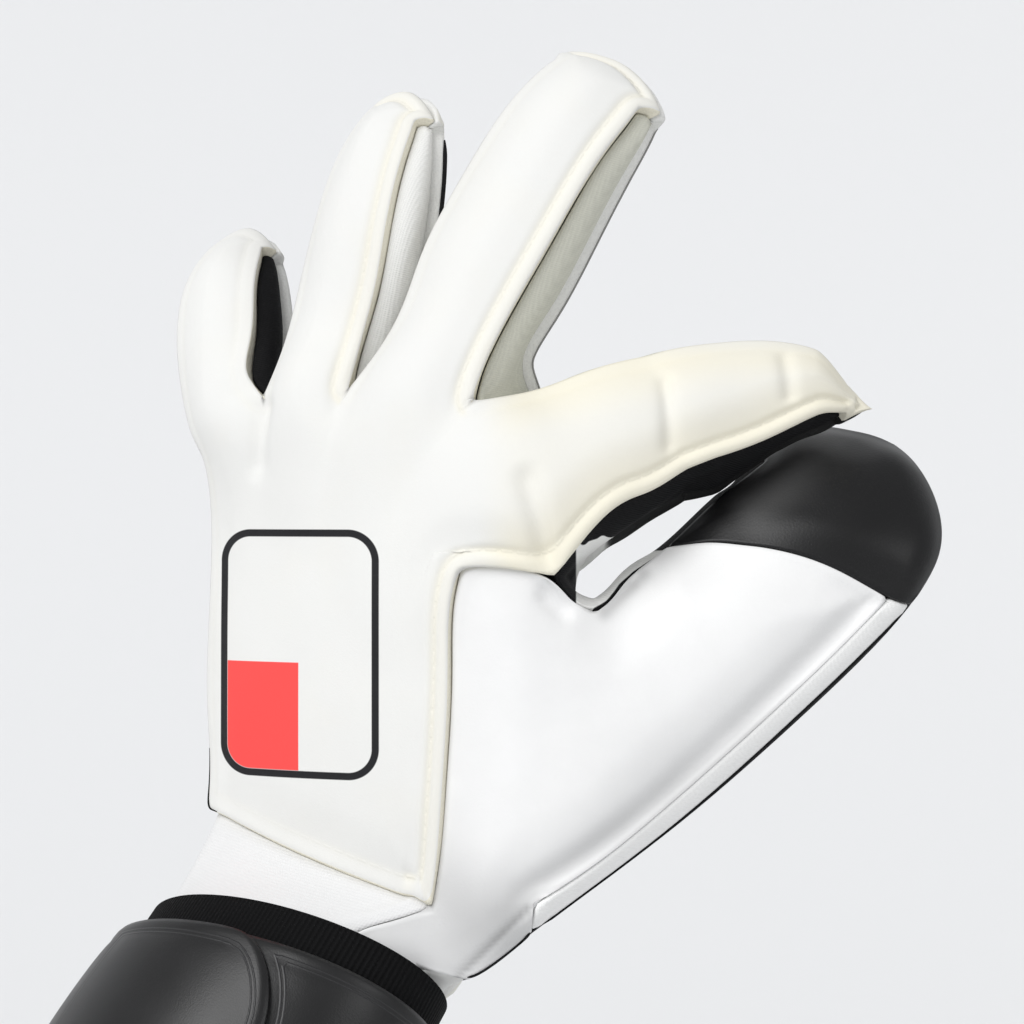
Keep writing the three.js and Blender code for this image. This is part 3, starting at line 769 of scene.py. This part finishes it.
def smooth_sheet(name, colour_value, grain, roughness, specular):
    """A smooth synthetic sheet with a fine grain, mixed toward a dark grey: painted shade on the white sheet,
    a painted sheen on the black one.
    """
    finish = Finish(name, specular)
    place = finish.place()
    cells = finish.cells(place, 1.0 / grain)
    clouds = finish.noise(place, 90.0, 3.0)
    # The grey of the painted shade on the white panel and of the painted sheen on the black cap.
    grey = (0.05, 0.05, 0.05, 1.0)
    tone = finish.tones(clouds.between(0.2, 0.8) * 0.25 + 0.75, colour_value, dark=0.86)
    finish.colour(finish.mix(finish.attribute("painted_light"), tone, grey))
    finish.rough(roughness - 0.05 + clouds * 0.1)
    finish.bump(cells, 0.00005, 0.35)
    return finish.material


def ribbed_knit(name, colour_value, rib):
    """A knit with ribs that run up the wrist."""
    finish = Finish(name, specular=0.12)
    finish.rough(0.9)
    loop = 0.9
    around = finish.attribute("round_wrist")
    up = finish.attribute("up_wrist")
    ribs = (around * (2 * math.pi / (rib / MM))).sine() * 0.5 + 0.5
    loops = ((up + around * 0.5) * (2 * math.pi / loop)).sine() * 0.5 + 0.5
    fuzz = finish.noise(finish.place(), 1100.0, 2.0)
    finish.colour(finish.tones(ribs * 0.7 + fuzz * 0.3, colour_value, dark=0.45))
    finish.bump(ribs + loops * 0.35 + fuzz * 0.3, 0.0003, 0.8)
    return finish.material


def strap_sheet(name, wrist):
    """The strap's smooth sheet with two pale lines along its hem."""
    finish = Finish(name, specular=0.4)
    place = finish.place()
    clouds = finish.noise(place, 70.0, 3.0)
    grain = finish.cells(place, 2600.0)
    edge = finish.attribute("to_edge")
    hem, line_reach = wrist.hem / MM, 0.28
    lines = edge.near(hem - 0.5, line_reach) + edge.near(hem + 0.4, line_reach)
    pale = linear(wrist.strap, 4.0)
    finish.colour(finish.mix(clouds.between(0.35, 0.8) * 0.1 + lines * 0.6, linear(wrist.strap), pale))
    finish.rough(0.33 + clouds * 0.08)
    finish.bump(grain * 0.25 + lines, 0.00012, 0.6)
    return finish.material


# Places in the picture plane, across and up, in mm.

# Where the light cloth begins in the web and ends below the thumb.
WEB_LEFT = 94.7
HEEL_LEFT = 70.5
# The heights between which the seam at the outer edge of the hand shows.
EDGE_SEAM_SPAN = (88.6, 104.0)
# Where the seam along the thumb's band begins, and where the seam below it ends.
BAND_LEFT = 85.1
HEEL_RIGHT = 85.6
# The index finger's back, and a point and the slope of its underside.
INDEX_TOP = 190.5
UNDER_POINT = Vector((128.0, 161.0))
UNDER_SLOPE = 0.45
# How far its underside is lifted, and how far its palm side is lowered by the web.
INDEX_LIFT = 2.5
WEB_DROP = 2.0
# The spans over which these grow and fade: on the palm side, on the back side and by the web.
PALM_GROWS, PALM_FADES = (128.0, 138.0), (141.0, 150.0)
BACK_GROWS, BACK_FADES = (108.0, 126.0), (146.0, 153.0)
DROP_GROWS, DROP_FADES = (100.0, 106.0), (124.0, 130.0)
# The start, length, height and slope of the line to which the tip thins out.
TIP_LEFT, TIP_LENGTH, TIP_HEIGHT, TIP_SLOPE = 146.0, 12.0, 174.2, 0.15
# How far the top of the thumb is lifted below the index fingertip, and how far beside it.
CAP_LIFT = 2.6
FLANK_LIFT = 1.3
# The corner where the inside of the thumb would show beside the cap, and the move in metres that hides it.
CAP_CORNER = Vector((168.0, 165.0))
CAP_TUCK = Vector((-0.0013, 0.0006, -0.0013))
# Folds push the surface in. The shade tables only paint colour: painted shade on the thumb's white panel, a
# painted sheen on its black cap.
BACK_FOLDS = (
    {"start": (113.6, 183.0), "end": (114.6, 166.5), "width": 1.8, "depth": 1.0},
    {"start": (139.2, 188.0), "end": (140.6, 176.6), "width": 1.8, "depth": 1.0},
    {"start": (83.5, 163.1), "end": (88.9, 141.6), "width": 2.4, "depth": 1.8},
    {"start": (27.6, 178.2), "end": (26.6, 162.1), "width": 2.0, "depth": 1.4},
)
THUMB_FOLDS = (
    {"start": (99.0, 134.0), "end": (107.0, 140.5), "width": 2.0, "depth": 0.9},
    {"start": (86.4, 71.0), "end": (66.5, 51.5), "width": 0.9, "depth": 0.5},
)
# Painted shade on the white thumb panel: in the groove below the band, under the web's edge, over the heel,
# along the band.
THUMB_PAINTED_SHADE = (
    {"start": (86.4, 71.0), "end": (66.5, 51.5), "width": 0.8, "depth": 0.3},
    {"start": (99.8, 131.5), "end": (110.0, 141.5), "width": 1.6, "depth": 0.3},
    {"start": (56.0, 76.0), "end": (84.0, 62.0), "width": 10.0, "depth": 0.24},
    {"start": (77.5, 67.5), "end": (142.0, 113.7), "width": 2.6, "depth": 0.16},
)
# A painted sheen on the black cap: a lighter stripe that stands in for a highlight.
CAP_PAINTED_SHEEN = (
    {"start": (151.0, 171.5), "end": (130.5, 151.5), "width": 4.5, "depth": 1.0},
)


def wrist_coordinates(bm):
    """Writes how far each corner lies round the wrist and up along it, in mm."""
    side = WRIST_AXIS.cross(Vector((0.0, 1.0, 0.0))).normalized()
    front = WRIST_AXIS.cross(side)
    write(bm, "round_wrist", lambda v: math.atan2(v.co.dot(front), v.co.dot(side)) * WRIST_RADIUS)
    write(bm, "up_wrist", lambda v: v.co.dot(WRIST_AXIS) / MM)


def padded_profile(foam, amount=1.0):
    """The height of a foam panel at a distance from its edge, in mm, with a fainter seam at a small share."""
    lip, lip_place = foam.lip_height / MM, foam.lip_place / MM
    depth, seam_place, pillow = foam.seam_depth / MM, foam.seam_place / MM, foam.pillow / MM
    lip_width, seam_width, pillow_end = 1.2, 0.9, 13.0

    def height(d, share):
        seam = lip * bell(d, lip_place, lip_width) - depth * bell(d, seam_place, seam_width)
        return amount * (share * seam + pillow * rise(d, seam_place * share, pillow_end))

    return height


def flat_profile(bow=0.0, width=5.0):
    """A thin sheet that bows a little between its edges."""
    return lambda d, share: bow * rise(d, 0.0, width)


def rolled_profile(d, share):
    """A sheet that swells toward its middle and rolls down before the seams where its share is large."""
    swell, swell_end = 2.4, 16.0
    roll, roll_place, roll_width = 1.7, 3.0, 2.6
    return swell * rise(d, 0.0, swell_end) - roll * share * bell(d, roll_place, roll_width)


def hem_profile(wrist):
    """The strap's hem: a low ridge along its edge and a shallow groove inside it."""
    relief, ridge, ridge_width, groove_width = 0.25, 1.4, 1.0, 0.6
    groove = wrist.hem / MM
    return lambda d, share: relief * (bell(d, ridge, ridge_width) - bell(d, groove, groove_width))


def index_under(along):
    """The height of the index finger's underside."""
    return UNDER_POINT.y + UNDER_SLOPE * (along - UNDER_POINT.x)


def on_index(place, y):
    """How far a point of the strip in the web belongs to the index finger rather than to the thumb."""
    low = index_under(place.x)
    behind = 1 - rise(-y, 1.5, 3.0)
    return rise(place.y, low - 3.0, low - 0.5) * (1 - rise(place.x, 126.0, 130.0) * behind)


def slim_index(bm, shared=False):
    """Lifts the index finger's underside, lowers its palm side by the web and thins its tip to a point."""
    for v in bm.verts:
        place, y = seen(v.co) / MM, v.co.y / MM
        low = index_under(place.x)
        start = low - 6.0
        if place.x < DROP_GROWS[0] or not start < place.y < INDEX_TOP:
            continue
        weight = on_index(place, y) if shared else rise(place.y, start, low)
        palm_side = INDEX_LIFT * rise(place.x, *PALM_GROWS) * (1 - 0.7 * rise(place.x, *PALM_FADES))
        palm_side -= WEB_DROP * rise(place.x, *DROP_GROWS) * (1 - rise(place.x, *DROP_FADES))
        back_side = INDEX_LIFT * rise(place.x, *BACK_GROWS) * (1 - 0.4 * rise(place.x, *BACK_FADES))
        lift = palm_side + (back_side - palm_side) * rise(-y, 4.0, 11.0)
        height = place.y + lift * min(1.0, (INDEX_TOP - place.y) / (INDEX_TOP - low))
        line = TIP_HEIGHT + TIP_SLOPE * (place.x - TIP_LEFT)
        thin = 0.9 * min(1.0, max(0.0, (place.x - TIP_LEFT) / TIP_LENGTH)) ** 1.6
        height += (line - height) * thin
        v.co.z += (height - place.y) * MM * weight
    bm.normal_update()


def lift_cap(bm, shared=False):
    """Lifts the top of the thumb below the index finger's tip."""
    for v in bm.verts:
        place = seen(v.co) / MM
        ridge = 155.0 + 16.0 * rise(place.x, 118.0, 146.0)
        weight = 1 - on_index(place, v.co.y / MM) if shared else 1.0
        lift = CAP_LIFT * bell(place.x, 143.5, 8.5) + FLANK_LIFT * bell(place.x, 126.0, 9.0)
        v.co.z += lift * MM * rise(place.y, ridge - 16.0, ridge - 1.0) * weight
    bm.normal_update()


def paint_index_shade(bm):
    """Paints cream-toned shade on the index finger's skin, strongest near its edges, which turn from the
    light.
    """
    to_edge = bm.verts.layers.float["to_edge"]

    def cream(v):
        place = seen(v.co) / MM
        index = rise(place.x, 72.0, 84.0) * (1 - rise(place.y, 186.0, 194.0))
        return index * (0.3 + 0.6 * (1 - rise(v[to_edge], 4.0, 15.0)))

    write(bm, "painted_light", cream)


def bound_depth(v):
    """How far a corner belongs to the palm's edge below the index finger, which is bound in black."""
    place = seen(v.co) / MM
    return rise(place.x, 100.6, 101.6) * (1 - rise(place.y - index_under(place.x), 6.0, 8.0))


def heel_depth(v):
    """How far a corner lies inside the light end of the strip below the thumb, in mm."""
    return HEEL_LEFT - 0.3 - seen(v.co).x / MM


def web_depth(v):
    """How far a corner lies inside the light bottom of the web, away from its dark margins, in mm."""
    back, thumb, cap = (
        WHOLE[node].find_nearest(v.co)[3] / MM for node in ("back_panel", "thumb_back", "thumb_cap")
    )
    past = seen(v.co).x / MM - WEB_LEFT
    dark = 2.6 * rise(past, -0.2, 1.6) + 1.6 * rise(past, 2.0, 5.0) + min(7.5, 2.0 * max(0.0, past - 5.5))
    seam = 1.2 * rise(past, 2.6, 3.4)
    return min(past + 0.2, back - dark, thumb - seam - 0.2, cap - thumb - 0.3)


def cord_weave(name, black):
    """The matte cloth of the black seam cords."""
    return weave(name, black, CORD_THREAD, specular=0.15, contrast=0.4)


def seam_cord(name, bm, keep, radius, taper, black):
    """A thin black cord along the border points that are kept."""
    chains = border_chains(bm, keep)
    finished(name, cords(chains, radius, taper), [], [cord_weave(name + "_cloth", black)])


# Operators: one for each piece or group of like pieces.

class GLOVE_OT_back_panel(bpy.types.Operator):
    """Builds the padded panel over the back of the hand and fingers"""

    bl_idname = "glove.back_panel"
    bl_label = "Back Panel"

    def execute(self, context):
        foam = context.scene.glove_foam
        black = context.scene.glove_cloth.black
        bm = smoothed(wall("back_panel"), levels=3)
        shape_skin(bm, padded_profile(foam), BACK_FOLDS, wave=(0.016, 0.0004), plain_sides=0.85)
        slim_index(bm)
        paint_index_shade(bm)
        shown = beside("little_side_gusset", 0.0045, 1, *EDGE_SEAM_SPAN)
        seam_cord("edge_seam", bm, shown, radius=0.00028, taper=12, black=black)
        skin = foam_skin("back_foam", foam, context.scene.glove_print)
        lining = weave("lining_cloth", foam.lining, thread=0.0007)
        piece = finished(
            "back_panel_foam", bm, ["back_panel"], [skin, foam_cut("foam_cut", foam.cut), lining]
        )
        return {"FINISHED"}


class GLOVE_OT_palm(bpy.types.Operator):
    """Builds the latex foam over the palm, the inside of the fingers and of the thumb"""

    bl_idname = "glove.palm"
    bl_label = "Palm"

    def execute(self, context):
        foam = context.scene.glove_foam
        skin = foam_skin("palm_foam", foam)
        cut = foam_cut("palm_cut", foam.palm_cut)
        lining = bpy.data.materials["lining_cloth"]
        bm = smoothed(wall("palm_latex"), levels=2)
        shape_skin(bm, padded_profile(foam, amount=0.6))
        write(bm, "bound", bound_depth)
        slim_index(bm)
        at_back = beside("back_panel", reach=0.005)
        cord_cloth = cord_weave("piping_cloth", context.scene.glove_cloth.black)
        line_cloth = weave("seam_line_cloth", (0.35, 0.35, 0.34), CORD_THREAD, contrast=0.2)
        for name, node, radius, cloth in (
            ("ring_piping", "fourchette_ring_middle", 0.0005, cord_cloth),
            ("middle_piping", "fourchette_middle_index", 0.00022, line_cloth),
        ):
            at_strip = beside(node, reach=0.0045)
            chains = border_chains(bm, lambda co: at_strip(co) and not at_back(co))
            finished(name, cords(chains, radius), [], [cloth])
        piece = finished("palm_latex_foam", bm, ["palm_latex"], [skin, cut, lining])
        bm = smoothed(wall("thumb_latex"), levels=2)
        shape_skin(bm, padded_profile(foam, amount=0.6))
        for v in bm.verts:
            v.co += CAP_TUCK * bell((seen(v.co) / MM - CAP_CORNER).length, 0.0, width=4.0)
        lift_cap(bm)
        bound = foam_skin("thumb_foam", foam, dark_band=1.6)
        piece = finished("thumb_latex_foam", bm, ["thumb_latex"], [bound, cord_cloth, lining])
        return {"FINISHED"}


class GLOVE_OT_side_strips(bpy.types.Operator):
    """Builds the cloth strips between the fingers and along the sides"""

    bl_idname = "glove.side_strips"
    bl_label = "Side Strips"

    def execute(self, context):
        cloth = context.scene.glove_cloth
        black = weave("black_stretch_cloth", cloth.black, cloth.thread, specular=0.15, contrast=0.5)
        web = weave("web_cloth", cloth.black, cloth.thread, specular=0.15, contrast=0.5, web=cloth.light)
        light = weave("light_stretch_cloth", cloth.light, cloth.thread, contrast=0.08)
        band_cloth = weave("band_cloth", cloth.band, cloth.thread, contrast=0.05)
        cream = weave("cream_stretch_cloth", cloth.cream, cloth.thread, contrast=0.16)
        strips = {
            "fourchette_little_ring": ("black_cloth", black),
            "fourchette_ring_middle": ("light_cloth", light),
            "fourchette_middle_index": ("cream_cloth", cream),
            "fourchette_index_thumb": ("black_cloth", web),
            "little_side_gusset": ("black_cloth", black),
            "thumb_side_gusset": ("black_cloth", web),
            "thumb_side_strip": ("light_cloth", band_cloth),
        }
        for node, (slot, material) in strips.items():
            levels = 3 if node == "fourchette_index_thumb" else 2
            push = WIDE_PUSH if node == "thumb_side_strip" else SEAM_PUSH
            bm = smoothed(wall(node), levels, crease=0.9, push=push)
            shape_skin(bm, flat_profile())
            if node == "fourchette_index_thumb":
                write(bm, "light_web", web_depth)
                slim_index(bm, shared=True)
                lift_cap(bm, shared=True)
            if node == "fourchette_middle_index":
                slim_index(bm)
            if node == "thumb_side_gusset":
                write(bm, "light_web", heel_depth)
            if node == "thumb_side_strip":
                shown = beside("thumb_side_gusset", reach=0.0015, low=BAND_LEFT)
                seam_cord("band_seam", bm, shown, radius=0.0004, taper=1.5, black=cloth.black)
            finished(node + "_cloth", bm, [node], [material, material, material])
        return {"FINISHED"}


class GLOVE_OT_thumb_panels(bpy.types.Operator):
    """Builds the smooth white panel and the black cap on the thumb"""

    bl_idname = "glove.thumb_panels"
    bl_label = "Thumb Panels"

    def execute(self, context):
        thumb = context.scene.glove_thumb
        lining = bpy.data.materials["lining_cloth"]
        white = smooth_sheet("smooth_white", thumb.white, thumb.grain, roughness=0.45, specular=0.3)
        black = smooth_sheet("smooth_black", thumb.black, thumb.grain, roughness=0.4, specular=0.3)
        bm = smoothed(wall("thumb_back"), levels=3, crease=0.95, push=WIDE_PUSH)
        shape_skin(bm, rolled_profile, THUMB_FOLDS, wave=(0.03, 0.0004), plain_sides=1.0, flat_below=0.078)
        # Painted shade from the thumb's table of stripes.
        write(bm, "painted_light", lambda v: fold_depth(seen(v.co), THUMB_PAINTED_SHADE) / MM)
        lift_cap(bm)
        shown = beside("thumb_side_gusset", reach=0.0025, low=HEEL_LEFT, high=HEEL_RIGHT)
        seam_cord("heel_seam", bm, shown, radius=0.0003, taper=1.5, black=context.scene.glove_cloth.black)
        finished("thumb_back_sheet", bm, ["thumb_back"], [white, white, lining])
        bm = smoothed(wall("thumb_cap"), levels=3)
        shape_skin(bm, flat_profile(bow=0.8, width=9.0))
        # A painted sheen, only on faces that turn toward the camera.
        write(bm, "painted_light", lambda v: fold_depth(seen(v.co), CAP_PAINTED_SHEEN) / MM * rise(-v.normal.y, 0.0, 0.5))
        lift_cap(bm)
        finished("thumb_cap_sheet", bm, ["thumb_cap"], [black, black, lining])
        return {"FINISHED"}


class GLOVE_OT_wrist(bpy.types.Operator):
    """Builds the elastic, the knitted bandage and the strap round the wrist"""

    bl_idname = "glove.wrist"
    bl_label = "Wrist"

    def execute(self, context):
        wrist = context.scene.glove_wrist
        lining = bpy.data.materials["lining_cloth"]
        elastic = weave("white_elastic", wrist.elastic, thread=0.0008, contrast=0.08)
        bm = smoothed(wall("wrist_elastic"), levels=2, crease=0.95, push=WIDE_PUSH)
        shape_skin(bm, flat_profile())
        finished("wrist_elastic_cloth", bm, ["wrist_elastic"], [elastic, elastic, lining])
        bm = smoothed(band("wrist_bandage"), levels=2)
        wrist_coordinates(bm)
        knit = ribbed_knit("bandage_knit", wrist.bandage, wrist.rib)
        finished("wrist_bandage_knit", bm, ["wrist_bandage"], [knit])
        bm = smoothed(band("wrist_strap"), levels=2)
        shape_skin(bm, hem_profile(wrist), one_finish=True)
        finished("wrist_strap_sheet", bm, ["wrist_strap"], [strap_sheet("strap_sheet", wrist)])
        return {"FINISHED"}


class GLOVE_OT_stage(bpy.types.Operator):
    """Builds the floor with its backdrop, the lights and the camera"""

    bl_idname = "glove.stage"
    bl_label = "Stage"

    def execute(self, context):
        stage = context.scene.glove_stage
        half_width, front, back, sweep, wall_height = 9.0, -9.0, 0.8, 1.2, 3.0
        bm = bmesh.new()
        low = [bm.verts.new((x, front, stage.floor_height)) for x in (-half_width, half_width)]
        run = bm.edges.new(low)
        edges = self.extrude(bm, [run], (0.0, back - front, 0.0))
        sweep_top = stage.floor_height + sweep
        bmesh.ops.spin(
            bm, geom=edges, cent=(0.0, back, sweep_top), axis=(1.0, 0.0, 0.0), dvec=(0.0, 0.0, 0.0),
            angle=math.radians(90), steps=16,
        )
        top = [v for v in bm.verts if abs(v.co.z - sweep_top) < 1e-4 and v.co.y > back]
        edges = [e for e in bm.edges if all(v in top for v in e.verts)]
        self.extrude(bm, edges, (0.0, 0.0, wall_height))
        paper = Finish("studio_paper")
        paper.rough(0.9)
        paper.colour(linear(stage.floor))
        floor = made("studio_floor", bm, [paper.material])
        sun = self.add_lamp("key_light", "SUN", stage.key, place=(-0.55, -0.75, 0.62), target=(0.0, 0.0, 0.0))
        sun.angle = math.radians(40)
        fill = self.add_lamp("fill_light", "AREA", 2.5, place=(1.1, -1.0, 0.5), target=(0.1, 0.0, 0.14))
        fill.shape = "DISK"
        fill.size = 0.6
        world = bpy.data.worlds.new("studio_air")
        world.use_nodes = True
        air = world.node_tree.nodes["Background"]
        air.inputs["Color"].default_value = (0.97, 0.98, 1.0, 1.0)
        air.inputs["Strength"].default_value = 0.43
        context.scene.world = world
        lens = bpy.data.cameras.new("picture_camera")
        lens.lens = LENS
        lens.sensor_width = SENSOR
        camera = bpy.data.objects.new("picture_camera", lens)
        camera.location = EYE
        camera.rotation_euler = (math.radians(90), 0.0, 0.0)
        context.scene.collection.objects.link(camera)
        context.scene.camera = camera
        context.scene.view_settings.view_transform = "Standard"
        return {"FINISHED"}

    def extrude(self, bm, edges, move):
        """Extrudes edges by a move and returns the new ones."""
        new = bmesh.ops.extrude_edge_only(bm, edges=edges)["geom"]
        bmesh.ops.translate(bm, verts=[g for g in new if isinstance(g, bmesh.types.BMVert)], vec=move)
        return [g for g in new if isinstance(g, bmesh.types.BMEdge)]

    def add_lamp(self, name, kind, strength, place, target):
        """Adds a lamp at a place, turned toward a target."""
        lamp = bpy.data.lights.new(name, kind)
        lamp.energy = strength
        light = bpy.data.objects.new(name, lamp)
        light.location = place
        light.rotation_euler = (Vector(target) - Vector(place)).to_track_quat("-Z", "Y").to_euler()
        bpy.context.scene.collection.objects.link(light)
        return lamp


OPERATORS = (
    GLOVE_OT_back_panel,
    GLOVE_OT_palm,
    GLOVE_OT_side_strips,
    GLOVE_OT_thumb_panels,
    GLOVE_OT_wrist,
    GLOVE_OT_stage,
)


class GLOVE_PT_panel(bpy.types.Panel):
    """Lists the glove's settings and pieces"""

    bl_label = "Goalkeeper Glove"
    bl_idname = "GLOVE_PT_panel"
    bl_space_type = "VIEW_3D"
    bl_region_type = "UI"
    bl_category = "Glove"

    def draw(self, context):
        for name in SETTINGS:
            box = self.layout.box()
            group = getattr(context.scene, name)
            for key in group.__annotations__:
                box.prop(group, key)
        for operator in OPERATORS:
            self.layout.operator(operator.bl_idname)


SETTINGS = {
    "glove_foam": FoamSettings,
    "glove_print": PrintSettings,
    "glove_cloth": ClothSettings,
    "glove_thumb": ThumbSettings,
    "glove_wrist": WristSettings,
    "glove_stage": StageSettings,
}


def register():
    for name, group in SETTINGS.items():
        bpy.utils.register_class(group)
        setattr(bpy.types.Scene, name, bpy.props.PointerProperty(type=group))
    for operator in OPERATORS:
        bpy.utils.register_class(operator)
    bpy.utils.register_class(GLOVE_PT_panel)


def unregister():
    bpy.utils.unregister_class(GLOVE_PT_panel)
    for operator in reversed(OPERATORS):
        bpy.utils.unregister_class(operator)
    for name, group in reversed(SETTINGS.items()):
        delattr(bpy.types.Scene, name)
        bpy.utils.unregister_class(group)


def main():
    register()
    bpy.ops.glove.back_panel()
    bpy.ops.glove.palm()
    bpy.ops.glove.side_strips()
    bpy.ops.glove.thumb_panels()
    bpy.ops.glove.wrist()
    bpy.ops.glove.stage()


if __name__ == "__main__":
    main()
